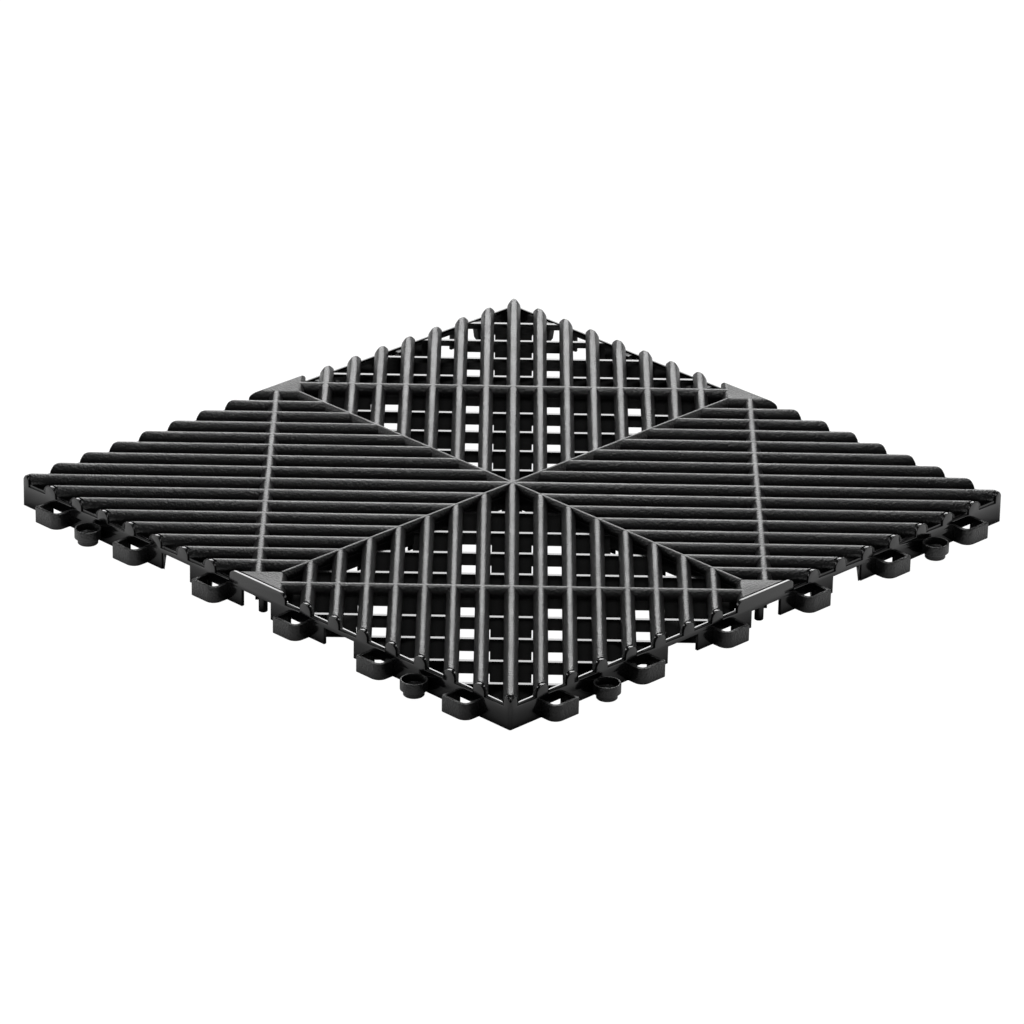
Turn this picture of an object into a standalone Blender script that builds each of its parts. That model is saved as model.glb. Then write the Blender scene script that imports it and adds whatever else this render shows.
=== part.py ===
"""Interlocking drainage floor tile: one square moulding of black polypropylene.

The tile lies flat on the floor, top up. The origin is the middle of the square on the floor.
Loops and round sockets stand out on the -Y and +X sides. The -X and +Y sides carry the pegs that
drop into the loops of the next tile, and passages that leave room for its loops and sockets.
Lengths are in metres.
"""

import math

import bmesh
import bpy

MM = 0.001

# Whole tile
SIDE = 400.0 * MM
HEIGHT = 19.5 * MM
HALF = SIDE / 2
QUADRANT_DIAGONAL = HALF * math.sqrt(2)

# Arched ribs, parallel to the diagonal of their quadrant
RIB_PITCH = 16.1 * MM
RIBS_EACH_SIDE = 7
RIB_WIDTH = 8.3 * MM
RIB_CREST_WIDTH = 3.6 * MM
RIB_ARCH_RISE = 3.2 * MM
RIB_DEPTH = 5.7 * MM
CREST_DROP = 0.1 * MM
CREST = HEIGHT - CREST_DROP
RIB_UNDERSIDE = CREST - RIB_DEPTH
RIB_END_SETBACK = 0.1 * MM

# Walls that split the tile in four, with a wider foot below the ribs
DIVIDER_THICKNESS = 2.0 * MM
DIVIDER_FOOT_THICKNESS = 5.0 * MM
DIVIDER_RAISE = 6.0 * MM
JOIN_INSET = 0.4 * MM

# Lower lattice walls across the ribs
LATTICE_PITCH = 27.9 * MM
LATTICE_EACH_SIDE = 4
LATTICE_THICKNESS = 3.0 * MM
LATTICE_TOP = RIB_UNDERSIDE
LATTICE_RAISE = 6.4 * MM
LATTICE_CLEARANCE = 0.2 * MM
CHANNEL_WIDTH = 25.5 * MM
CHANNEL_RIBS = (1.5, 4.5)
CHANNEL_END_WALL = 4.0 * MM

# Outer wall
WALL_THICKNESS = 2.2 * MM
WALL_STEP = 0.6 * MM
WALL_TOP = LATTICE_TOP + WALL_STEP
OPENING_WIDTH = 23.6 * MM
OPENING_LINTEL = 3.6 * MM
OPENING_HEIGHT = LATTICE_TOP - OPENING_LINTEL

# Triangular plates in the middle of the sides
PLATE_HALF_BASE = 20.0 * MM
PLATE_FLANK = 3.3 * MM
FOOT_DIAMETER = 5.1 * MM
FOOT_INSET = 5.0 * MM
CENTRE_FOOT_DIAMETER = 12.0 * MM

# Coupling positions along a side
STATIONS = 6
FIRST_STATION = 33.3 * MM
LAST_STATION_MARGIN = 32.2 * MM
STATION_PITCH = (SIDE - FIRST_STATION - LAST_STATION_MARGIN) / (STATIONS - 1)
LOOP_LENGTH = 18.8 * MM
LOOP_REACH = 10.3 * MM
LOOP_WALL = 2.3 * MM
LOOP_HEADROOM = 0.6 * MM
LOOP_HEIGHT = OPENING_HEIGHT - LOOP_HEADROOM
LOOP_CORNER = 5.5 * MM
LOOP_FAR_CORNER = 1.5 * MM
DOOR_SIDE_GAP = 0.4 * MM
DOOR_HEIGHT = LATTICE_RAISE
CUP_DIAMETER = 16.0 * MM
CUP_LOWER_DIAMETER = 11.8 * MM
CUP_HEIGHT = LOOP_HEIGHT - 0.1 * MM
CUP_STEP = 3.4 * MM
CUP_WALL = 1.2 * MM
CUP_OVERLAP = 1.0 * MM
CUP_SIDES = 12

# Pegs under the far sides, and the passages for the couplings of the next tile
FIT_CLEARANCE = 1.3 * MM
PASSAGE_CLEARANCE = 1.6 * MM
PASSAGE_END_ROOM = 3.5 * MM
SHELF_DROP = 0.4 * MM
SHELF_TOP = LATTICE_TOP - SHELF_DROP
SHELF_UNDERSIDE = OPENING_HEIGHT + 0.6 * MM
PEG_THICKNESS = 4.0 * MM
PEG_SIDE_GAP = 2.0 * MM
PEG_TIP = 0.6 * MM
PEG_POINT = 2.6 * MM
PEG_TIP_HALF_LENGTH = 2.9 * MM
PEG_TAPER = 1.4 * MM
PEG_TIP_INSET = 0.7 * MM


def clear_scene():
    """Remove everything the new file starts with."""
    for thing in list(bpy.data.objects):
        bpy.data.objects.remove(thing)


def black_polypropylene():
    """Black polypropylene with a fine moulded texture."""
    material = bpy.data.materials.new("black_polypropylene")
    material.use_nodes = True
    surface = material.node_tree.nodes["Principled BSDF"]
    surface.inputs["Base Color"].default_value = (0.012, 0.012, 0.013, 1.0)
    surface.inputs["Roughness"].default_value = 0.42
    surface.inputs["IOR"].default_value = 1.49
    return material


def loft(mesh, first, second, split=None):
    """Join two rings of points with flat sides and close both ends.

    A split (i, j) closes each end with two faces that meet on the line between points i and j.
    """
    rings = [[mesh.verts.new(point) for point in ring] for ring in (first, second)]
    count = len(first)
    for i in range(count):
        j = (i + 1) % count
        mesh.faces.new((rings[0][i], rings[0][j], rings[1][j], rings[1][i]))
    for ring in rings:
        if split is None:
            mesh.faces.new(ring)
            continue
        low, high = split
        mesh.faces.new(ring[low : high + 1])
        mesh.faces.new(ring[high:] + ring[: low + 1])


def prism(mesh, plan, low, high, place=lambda x, y, z: (x, y, z)):
    """Stand a plan outline up between two heights."""
    loft(mesh, [place(x, y, low) for x, y in plan], [place(x, y, high) for x, y in plan])


def circle(radius, sides, centre=(0.0, 0.0)):
    """Points of a circle in plan."""
    turns = [2 * math.pi * (i + 0.5) / sides for i in range(sides)]
    return [(centre[0] + radius * math.cos(a), centre[1] + radius * math.sin(a)) for a in turns]


def finish_mesh(name, mesh):
    """Turn a working mesh into an object with all faces looking outwards."""
    bmesh.ops.recalc_face_normals(mesh, faces=mesh.faces)
    data = bpy.data.meshes.new(name)
    mesh.to_mesh(data)
    mesh.free()
    thing = bpy.data.objects.new(name, data)
    bpy.context.scene.collection.objects.link(thing)
    return thing


def helper(thing):
    """Keep a body that is joined or cut out of the render."""
    thing.hide_render = True
    thing.display_type = "WIRE"
    return thing


def in_quadrant(quadrant):
    """Placing rule of a quadrant: distance along its diagonal, distance across it, height."""
    angle = math.radians(45 + 90 * quadrant)
    along = (math.cos(angle), math.sin(angle))

    def place(distance, across, z):
        return (
            along[0] * distance - along[1] * across,
            along[1] * distance + along[0] * across,
            z,
        )

    return place


def rib_section():
    """Half section of a rib from the bottom corner to the edge of the crest: (across, height)."""
    half = RIB_WIDTH / 2
    return [(half, RIB_UNDERSIDE), (half, CREST - RIB_ARCH_RISE), (RIB_CREST_WIDTH / 2, CREST)]


def arched_rib(mesh, quadrant, number):
    """One rib, cut along the divider at one end and level with the side at the other."""
    place = in_quadrant(quadrant)
    right = rib_section()
    left = [(-across, z) for across, z in reversed(right)]
    outline = right + left
    split = None
    if number == 0:
        outline = right + [(0.0, CREST)] + left + [(0.0, RIB_UNDERSIDE)]
        split = (len(right), len(outline) - 1)
    starts, ends = [], []
    for across, z in outline:
        offset = number * RIB_PITCH + across
        inner = abs(offset) + JOIN_INSET * math.sqrt(2)
        outer = QUADRANT_DIAGONAL - abs(offset) - RIB_END_SETBACK * math.sqrt(2)
        starts.append(place(inner, offset, z))
        ends.append(place(outer, offset, z))
    loft(mesh, starts, ends, split)


def arched_ribs():
    """All arched ribs of the four quadrants."""
    mesh = bmesh.new()
    for quadrant in range(4):
        for number in range(-RIBS_EACH_SIDE, RIBS_EACH_SIDE + 1):
            arched_rib(mesh, quadrant, number)
    return helper(finish_mesh("guide_ribs", mesh))


def cross_ribs():
    """One arched rib across the middle of each quadrant, from plate to plate."""
    mesh = bmesh.new()
    right = rib_section()
    outline = right + [(-side, z) for side, z in reversed(right)]
    reach = QUADRANT_DIAGONAL / 2 - PLATE_HALF_BASE / math.sqrt(2) + MM
    for quadrant in range(4):
        place = in_quadrant(quadrant)
        middle = QUADRANT_DIAGONAL / 2
        ends = [[place(middle + side, end, z) for side, z in outline] for end in (-reach, reach)]
        loft(mesh, *ends)
    return helper(finish_mesh("guide_cross_ribs", mesh))


def channels_within(half_length):
    """Middles of the drain channels under a lattice wall of this half length."""
    offsets = [ribs * RIB_PITCH for ribs in CHANNEL_RIBS]
    fitting = [x for x in offsets if x + CHANNEL_WIDTH / 2 + CHANNEL_END_WALL < half_length]
    return [-x for x in reversed(fitting)] + fitting


def lattice_profile(half_length, channels, top):
    """Outline of a lattice wall: (across, height), standing on the floor between its channels."""
    points = [(-half_length, top), (-half_length, LATTICE_CLEARANCE)]
    for centre in channels:
        left, right = centre - CHANNEL_WIDTH / 2, centre + CHANNEL_WIDTH / 2
        points += [(left, LATTICE_CLEARANCE), (left, LATTICE_RAISE)]
        points += [(right, LATTICE_RAISE), (right, LATTICE_CLEARANCE)]
    points += [(half_length, LATTICE_CLEARANCE), (half_length, top)]
    return points


def lattice_wall(mesh, quadrant, number):
    """One wall across the ribs, from the foot of a divider or from the outer wall to the next."""
    place = in_quadrant(quadrant)
    middle = QUADRANT_DIAGONAL / 2 + number * LATTICE_PITCH
    stations = (middle - LATTICE_THICKNESS / 2, middle + LATTICE_THICKNESS / 2)
    divider_inset = (DIVIDER_FOOT_THICKNESS / 2 - JOIN_INSET) * math.sqrt(2)
    wall_inset = JOIN_INSET * math.sqrt(2)
    reaches = [min(x - divider_inset, QUADRANT_DIAGONAL - x - wall_inset) for x in stations]
    if number == 0:
        reaches = [min(reaches)] * 2
    channels = channels_within(min(reaches))
    first, second = (
        [place(distance, across, z) for across, z in lattice_profile(reach, channels, LATTICE_TOP)]
        for distance, reach in zip(stations, reaches)
    )
    loft(mesh, first, second)


def lattice():
    """All walls across the ribs in the four quadrants."""
    mesh = bmesh.new()
    for quadrant in range(4):
        for number in range(-LATTICE_EACH_SIDE, LATTICE_EACH_SIDE + 1):
            lattice_wall(mesh, quadrant, number)
    return helper(finish_mesh("guide_lattice", mesh))


def on_side(side):
    """Placing rule of a side: distance from its start corner, distance outwards, height.

    The near sides (-Y, +X) start at their shared corner, the far sides (-X, +Y) at theirs.
    """
    rules = {
        "-Y": lambda t, d, z: (HALF - t, -HALF - d, z),
        "+X": lambda t, d, z: (HALF + d, -HALF + t, z),
        "-X": lambda t, d, z: (-HALF - d, HALF - t, z),
        "+Y": lambda t, d, z: (-HALF + t, HALF + d, z),
    }
    return rules[side]


def loop_stations():
    """Distances of the loops from the start corner of a near side."""
    return [FIRST_STATION + i * STATION_PITCH for i in range(STATIONS)]


def cup_stations():
    """Distances of the round sockets from the start corner of a near side."""
    return [FIRST_STATION + i * STATION_PITCH for i in (0.5, STATIONS - 1.5)]


def opening_stations():
    """Distances of the drain openings from the start corner of a near side."""
    return [FIRST_STATION + (i + 0.5) * STATION_PITCH for i in range(1, STATIONS - 2)]


def across_the_tile(stations):
    """Distances of the matching places from the start corner of the far side opposite."""
    return [SIDE - t for t in stations]


def outer_wall():
    """Square ring of wall, lower than the ribs."""
    mesh = bmesh.new()
    outer = HALF
    inner = outer - WALL_THICKNESS
    corners = [(-1, -1), (1, -1), (1, 1), (-1, 1)]
    levels = []
    for reach in (outer, inner):
        for z in (0.0, WALL_TOP):
            levels.append([mesh.verts.new((x * reach, y * reach, z)) for x, y in corners])
    outer_low, outer_high, inner_low, inner_high = levels
    for i in range(4):
        j = (i + 1) % 4
        mesh.faces.new((outer_low[i], outer_low[j], outer_high[j], outer_high[i]))
        mesh.faces.new((inner_low[j], inner_low[i], inner_high[i], inner_high[j]))
        mesh.faces.new((outer_high[i], outer_high[j], inner_high[j], inner_high[i]))
        mesh.faces.new((outer_low[j], outer_low[i], inner_low[i], inner_low[j]))
    return finish_mesh("drainage_tile", mesh)


def openings():
    """Cutter: openings in the near sides, passages for the next tile under the far sides."""
    mesh = bmesh.new()
    loop_width, loop_depth = LOOP_LENGTH + 2 * PASSAGE_CLEARANCE, LOOP_REACH + PASSAGE_END_ROOM
    cup_width, cup_depth = CUP_DIAMETER + 2 * PASSAGE_CLEARANCE, CUP_DIAMETER + PASSAGE_CLEARANCE
    through, door_width = WALL_THICKNESS + MM, LOOP_LENGTH - 2 * (LOOP_WALL + DOOR_SIDE_GAP)
    near = [(t, OPENING_WIDTH, through, OPENING_HEIGHT) for t in opening_stations()]
    near += [(t, door_width, through, DOOR_HEIGHT) for t in loop_stations()]
    loops, cups = across_the_tile(loop_stations()), across_the_tile(cup_stations())
    far = [(t, loop_width, loop_depth, OPENING_HEIGHT) for t in loops]
    far += [(t, cup_width, cup_depth, OPENING_HEIGHT) for t in cups]
    for side, places in {"-Y": near, "+X": near, "-X": far, "+Y": far}.items():
        for t, width, depth, height in places:
            left, right = t - width / 2, t + width / 2
            plan = [(left, -depth), (right, -depth), (right, MM), (left, MM)]
            prism(mesh, plan, -MM, height, on_side(side))
    return helper(finish_mesh("cutter_openings", mesh))


def divider(name, length_axis):
    """Wall across the middle of the tile along X or Y, thin above its foot."""
    mesh = bmesh.new()
    reach = HALF - WALL_THICKNESS / 2
    thin, foot = DIVIDER_THICKNESS / 2, DIVIDER_FOOT_THICKNESS / 2
    along_x = length_axis == "X"
    low = DIVIDER_RAISE - (0.1 * MM if along_x else 0.0)
    top = HEIGHT - (0.05 * MM if along_x else 0.0)
    right = [(foot, low), (foot, LATTICE_TOP), (thin, LATTICE_TOP), (thin, top)]
    outline = right + [(-side, z) for side, z in reversed(right)]
    place = (lambda x, y, z: (x, y, z)) if along_x else (lambda x, y, z: (y, x, z))
    ends = [[place(end, side, z) for side, z in outline] for end in (-reach, reach)]
    loft(mesh, *ends)
    return helper(finish_mesh(name, mesh))


def side_plates():
    """Triangular plates in the middle of the sides, level with the ribs and sloped like them."""
    mesh = bmesh.new()
    outer = -RIB_END_SETBACK
    levels = [
        (PLATE_HALF_BASE + PLATE_FLANK, RIB_UNDERSIDE),
        (PLATE_HALF_BASE + PLATE_FLANK, CREST - RIB_ARCH_RISE),
        (PLATE_HALF_BASE, CREST),
    ]
    middle = SIDE / 2
    for side in ("-Y", "+X", "-X", "+Y"):
        place = on_side(side)
        rings = []
        for half, z in levels:
            plan = [(middle - half, outer), (middle + half, outer), (middle, outer - half)]
            rings.append([mesh.verts.new(place(t, d, z)) for t, d in plan])
        for ring, following in zip(rings, rings[1:]):
            for i in range(3):
                j = (i + 1) % 3
                mesh.faces.new((ring[i], ring[j], following[j], following[i]))
        mesh.faces.new(rings[0])
        mesh.faces.new(rings[-1])
    return helper(finish_mesh("guide_plates", mesh))


def feet():
    """Round feet under the plates and under the middle of the tile."""
    mesh = bmesh.new()
    top = RIB_UNDERSIDE + RIB_DEPTH / 2
    spots = [(0, -1), (1, 0), (0, 1), (-1, 0)]
    reach = HALF - FOOT_INSET
    for x, y in spots:
        prism(mesh, circle(FOOT_DIAMETER / 2, 10, (x * reach, y * reach)), 0.0, top)
    prism(mesh, circle(CENTRE_FOOT_DIAMETER / 2, 12), 0.0, LATTICE_TOP - MM)
    return helper(finish_mesh("guide_feet", mesh))


def rounded_corner(centre, radius, start_angle, end_angle, steps):
    """Points of a rounded corner in plan."""
    points = []
    for i in range(steps + 1):
        angle = math.radians(start_angle + (end_angle - start_angle) * i / steps)
        points.append((centre[0] + radius * math.cos(angle), centre[1] + radius * math.sin(angle)))
    return points


def loop_plan(t):
    """Outline of a loop in plan: (distance along the side, distance outwards)."""
    root = -WALL_THICKNESS / 2
    left, right = t - LOOP_LENGTH / 2, t + LOOP_LENGTH / 2
    big, small, wall = LOOP_CORNER, LOOP_FAR_CORNER, LOOP_WALL
    outline = [(left, root)]
    outline += rounded_corner((left + big, LOOP_REACH - big), big, 180, 90, 3)
    outline += rounded_corner((right - small, LOOP_REACH - small), small, 90, 0, 1)
    outline += [(right, root), (right - wall, root), (right - wall, LOOP_REACH - wall)]
    inner_big = big - wall
    outline += rounded_corner((left + big, LOOP_REACH - big), inner_big, 90, 180, 1)
    outline += [(left + wall, root)]
    return outline


def cup(mesh, side, t):
    """Stepped round socket, open at the top."""
    place = on_side(side)
    centre = (t, CUP_DIAMETER / 2 - CUP_OVERLAP)
    outer, lower, inner = CUP_DIAMETER / 2, CUP_LOWER_DIAMETER / 2, CUP_DIAMETER / 2 - CUP_WALL
    levels = [
        (lower, 0.0),
        (lower, CUP_STEP),
        (outer, CUP_STEP),
        (outer, CUP_HEIGHT),
        (inner, CUP_HEIGHT),
        (inner, CUP_STEP + CUP_WALL),
    ]
    rings = []
    for radius, z in levels:
        rings.append([mesh.verts.new(place(x, y, z)) for x, y in circle(radius, CUP_SIDES, centre)])
    for ring, following in zip(rings, rings[1:]):
        for j in range(CUP_SIDES):
            k = (j + 1) % CUP_SIDES
            mesh.faces.new((ring[j], ring[k], following[k], following[j]))
    mesh.faces.new(rings[0])
    mesh.faces.new(rings[-1])


def near_couplings():
    """Loops and round sockets of the near sides."""
    mesh = bmesh.new()
    for side in ("-Y", "+X"):
        for t in loop_stations():
            prism(mesh, loop_plan(t), 0.0, LOOP_HEIGHT, on_side(side))
        for t in cup_stations():
            cup(mesh, side, t)
    return helper(finish_mesh("guide_near_couplings", mesh))


def peg_ring(half, inset):
    """Plan of a peg about its station: (distance along the side, distance outwards)."""
    outside = -PEG_SIDE_GAP - inset
    inside = -PEG_SIDE_GAP - PEG_THICKNESS + inset
    return [(-half, inside), (half, inside), (half, outside), (-half, outside)]


def peg(mesh, place, t):
    """Tapered, pointed peg and the shelf that carries it from the outer wall."""
    half = LOOP_LENGTH / 2 - LOOP_WALL - FIT_CLEARANCE
    root = -WALL_THICKNESS / 2
    neck = peg_ring(half, 0.0)
    shelf = neck[:2] + [(half, root), (-half, root)]
    levels = [
        (peg_ring(PEG_TIP_HALF_LENGTH, PEG_TIP_INSET), PEG_TIP),
        (peg_ring(half - PEG_TAPER, 0.0), PEG_TIP + PEG_POINT),
        (neck, SHELF_UNDERSIDE),
    ]
    rings = [[mesh.verts.new(place(t + x, d, z)) for x, d in ring] for ring, z in levels]
    middle = rings[-1]
    high = [mesh.verts.new(place(t + x, d, SHELF_TOP)) for x, d in shelf]
    roots = [mesh.verts.new(place(t + x, root, SHELF_UNDERSIDE)) for x in (half, -half)]
    mesh.faces.new(rings[0])
    mesh.faces.new(high)
    for ring, following in zip(rings, rings[1:]):
        for i in range(4):
            j = (i + 1) % 4
            mesh.faces.new((ring[i], ring[j], following[j], following[i]))
    mesh.faces.new((middle[0], middle[1], high[1], high[0]))
    mesh.faces.new((middle[1], middle[2], roots[0], high[2], high[1]))
    mesh.faces.new((middle[2], middle[3], roots[1], roots[0]))
    mesh.faces.new((middle[3], middle[0], high[0], high[3], roots[1]))
    mesh.faces.new((roots[0], roots[1], high[3], high[2]))


def pegs():
    """Pegs of the far sides."""
    mesh = bmesh.new()
    for side in ("-X", "+Y"):
        for t in across_the_tile(loop_stations()):
            peg(mesh, on_side(side), t)
    return helper(finish_mesh("guide_pegs", mesh))


def add_boolean(body, other, operation):
    """Join or cut with another body."""
    modifier = body.modifiers.new(other.name, "BOOLEAN")
    modifier.operation = operation
    modifier.solver = "EXACT"
    modifier.object = other


def build():
    """The tile as one fused body."""
    clear_scene()
    tile = outer_wall()
    add_boolean(tile, lattice(), "UNION")
    add_boolean(tile, openings(), "DIFFERENCE")
    joined = [
        divider("guide_divider_x", "X"),
        divider("guide_divider_y", "Y"),
        side_plates(),
        feet(),
        near_couplings(),
        pegs(),
        cross_ribs(),
        arched_ribs(),
    ]
    for body in joined:
        add_boolean(tile, body, "UNION")
    tile.data.materials.append(black_polypropylene())


build()
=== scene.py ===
"""Looks of the interlocking drainage tile.

The tile is one square moulding of black polypropylene. It is drawn here in its moulded features:
arched ribs over a lower lattice, dividers, the outer wall with its tongues, the plates, and the
couplings of its four sides. Lengths are in millimetres until a piece becomes a mesh.
"""

from __future__ import annotations

import logging
import math
from dataclasses import dataclass, field
from enum import Enum
from functools import partial
from typing import Any, Callable, Sequence

import bmesh
import bpy
from mathutils import Matrix, Vector


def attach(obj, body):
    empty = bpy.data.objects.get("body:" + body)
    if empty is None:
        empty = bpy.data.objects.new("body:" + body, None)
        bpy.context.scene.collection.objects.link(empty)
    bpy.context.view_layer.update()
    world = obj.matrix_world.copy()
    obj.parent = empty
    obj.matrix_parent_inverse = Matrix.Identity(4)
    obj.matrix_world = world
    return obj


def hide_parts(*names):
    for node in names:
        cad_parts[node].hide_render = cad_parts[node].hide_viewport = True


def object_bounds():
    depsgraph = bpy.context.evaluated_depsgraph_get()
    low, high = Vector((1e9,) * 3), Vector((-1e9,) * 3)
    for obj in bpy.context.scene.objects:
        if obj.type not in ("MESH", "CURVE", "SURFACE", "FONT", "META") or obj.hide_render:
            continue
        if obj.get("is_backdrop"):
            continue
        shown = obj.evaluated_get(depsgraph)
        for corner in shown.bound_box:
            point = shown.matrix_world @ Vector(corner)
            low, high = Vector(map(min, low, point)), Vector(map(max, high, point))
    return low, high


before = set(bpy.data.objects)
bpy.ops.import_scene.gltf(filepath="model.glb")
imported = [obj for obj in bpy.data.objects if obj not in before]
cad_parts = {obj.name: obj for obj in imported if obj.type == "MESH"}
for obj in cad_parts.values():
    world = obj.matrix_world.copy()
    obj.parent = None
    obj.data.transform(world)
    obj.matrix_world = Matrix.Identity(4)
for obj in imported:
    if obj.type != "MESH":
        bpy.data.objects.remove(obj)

log = logging.getLogger("drainage_tile")

MM = 0.001
ROOT_TWO = math.sqrt(2.0)
BODY = "root"
CAD_NODE = "drainage_tile"
IMAGE_WIDTH = 1024
# Least divisor of a corner's mitre: it keeps the mitre of a sharp corner short.
MITRE_LIMIT = 0.3
# Share of its radius at which a rounded edge passes its middle, 1 - cos 45 degrees.
ROUND_MIDDLE = 0.29
# A point of a section nearer to its middle than this lies on it and isn't mirrored.
ON_MIDDLE = 1e-9

Point2 = tuple[float, float]
Point3 = tuple[float, float, float]
Placing = Callable[[float, float, float], Point3]


class Side(Enum):
    """The four sides of the tile, named by the axis that they face."""

    FRONT = "-Y"
    RIGHT = "+X"
    LEFT = "-X"
    BACK = "+Y"

    @property
    def carries_loops(self) -> bool:
        """True for the two near sides, which carry the loops and the round sockets."""
        return self in (Side.FRONT, Side.RIGHT)


class Quadrant(Enum):
    """The four quarters of the tile, by the angle of their diagonal in degrees."""

    BACK_RIGHT = 45
    BACK_LEFT = 135
    FRONT_LEFT = 225
    FRONT_RIGHT = 315

    def rib_ends_far(self, number: int) -> bool:
        """Tells whether a rib ends on one of the two far sides.

        Args:
            number: Place of the rib, counted from the quarter's diagonal.

        Returns:
            True on the left and back sides. The ribs of the other corners count as near.
        """
        if self is Quadrant.BACK_RIGHT:
            return number > 0
        if self is Quadrant.FRONT_LEFT:
            return number < 0
        return self is Quadrant.BACK_LEFT


# Places along a near side, in station pitches from its first loop.
LOOP_PLACES = (0, 1, 2, 3, 4, 5)
CUP_PLACES = (0.5, 4.5)
DRAIN_PLACES = (1.5, 2.5, 3.5)


@dataclass(frozen=True)
class TileSizes:
    """Sizes that several pieces share, in millimetres, within 0.05 of those of the CAD source.

    Attributes:
        side: Side of the square, without the couplings.
        height: Height of the dividers' top, the highest of the tile.
        crest: Height of the ribs' crest.
        rib_underside: Height at which a rib's sides end and the lattice ends.
        rib_pitch: Distance between the middles of two ribs.
        ribs_each_side: Number of ribs on each side of the one on a quadrant's diagonal.
        opening_height: Height of the drain openings and of the passages.
        door_height: Height of the low doors behind the loops.
        first_station: Distance of the first loop from the start corner of a near side.
        station_pitch: Distance between two loops.
        loop_length: Length of a loop along its side.
        loop_reach: How far a loop stands out of its side.
        loop_wall: Thickness of a loop's wall.
    """

    side: float = 400.0
    height: float = 19.5
    crest: float = 19.4
    rib_underside: float = 13.7
    rib_pitch: float = 16.06
    ribs_each_side: int = 7
    opening_height: float = 10.1
    door_height: float = 6.4
    first_station: float = 33.3
    station_pitch: float = 66.9
    loop_length: float = 18.8
    loop_reach: float = 10.3
    loop_wall: float = 2.3

    @property
    def half(self) -> float:
        """Half of the tile's side."""
        return self.side / 2

    @property
    def diagonal(self) -> float:
        """Length of a quadrant's diagonal."""
        return self.half * ROOT_TWO

    def stations(self, side: Side, places: Sequence[float]) -> list[float]:
        """Distances of couplings or openings from the start corner of a side.

        Args:
            side: The side of the tile.
            places: Their places along a near side, in station pitches from its first loop.

        Returns:
            The distances. Those of a far side match the near side of the next tile.
        """
        near = [self.first_station + place * self.station_pitch for place in places]
        return near if side.carries_loops else [self.side - t for t in near]


def in_quadrant(quadrant: Quadrant) -> Placing:
    """Gives the placing rule of a quadrant.

    Args:
        quadrant: The quarter of the tile.

    Returns:
        A function of the distance along the diagonal, the distance across it and the height.
    """
    angle = math.radians(quadrant.value)
    cos, sin = math.cos(angle), math.sin(angle)

    def place(distance: float, across: float, z: float) -> Point3:
        """Gives the point in the tile's own directions."""
        return (cos * distance - sin * across, sin * distance + cos * across, z)

    return place


def on_side(side: Side, half: float) -> Placing:
    """Gives the placing rule of a side.

    Args:
        side: The side of the tile.
        half: Half of the tile's side.

    Returns:
        A function of the distance from the start corner, the distance outwards and the height.
    """
    rules: dict[Side, Placing] = {
        Side.FRONT: lambda t, d, z: (half - t, -half - d, z),
        Side.RIGHT: lambda t, d, z: (half + d, -half + t, z),
        Side.LEFT: lambda t, d, z: (-half - d, half - t, z),
        Side.BACK: lambda t, d, z: (-half + t, half + d, z),
    }
    return rules[side]


def inset_outline(outline: Sequence[Point2], inset: float) -> list[Point2]:
    """Moves every edge of a closed outline inwards by the same distance.

    Args:
        outline: Corners of the outline, in order.
        inset: Distance to move the edges.

    Returns:
        The corners of the smaller outline, in the same order.
    """
    count = len(outline)
    area = sum(
        outline[i][0] * outline[(i + 1) % count][1] - outline[(i + 1) % count][0] * outline[i][1]
        for i in range(count)
    )
    turn = 1.0 if area > 0 else -1.0
    moved = []
    for i in range(count):
        before, here, after = outline[i - 1], outline[i], outline[(i + 1) % count]
        first = Vector((here[0] - before[0], here[1] - before[1])).normalized()
        second = Vector((after[0] - here[0], after[1] - here[1])).normalized()
        normal_a = Vector((-first.y, first.x)) * turn
        normal_b = Vector((-second.y, second.x)) * turn
        middle = normal_a + normal_b
        middle = middle / max(middle.length_squared / 2, MITRE_LIMIT)
        moved.append((here[0] + middle.x * inset, here[1] + middle.y * inset))
    return moved


def arc(centre: Point2, radius: float, start: float, end: float, steps: int) -> list[Point2]:
    """Gives points of an arc in a plane.

    Args:
        centre: Middle of the arc.
        radius: Radius of the arc.
        start: First angle in degrees.
        end: Last angle in degrees.
        steps: Number of chords.

    Returns:
        The points from the first angle to the last.
    """
    angles = [math.radians(start + (end - start) * i / steps) for i in range(steps + 1)]
    return [(centre[0] + radius * math.cos(a), centre[1] + radius * math.sin(a)) for a in angles]


def mirrored(half: Sequence[Point2]) -> list[Point2]:
    """Completes a section that is the same on both sides of its middle.

    Args:
        half: Points of one side, with their distance across as the first value.

    Returns:
        The points of that side and then of the other, back to where the section closes.
    """
    return list(half) + [(-across, z) for across, z in reversed(half) if across > ON_MIDDLE]


def edge_rounding(radius: float) -> list[Point2]:
    """Gives the steps of a rounded edge: (distance below the face, distance in from the side)."""
    middle = ROUND_MIDDLE * radius
    return [(0.0, radius), (middle, middle), (radius, 0.0)]


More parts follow.
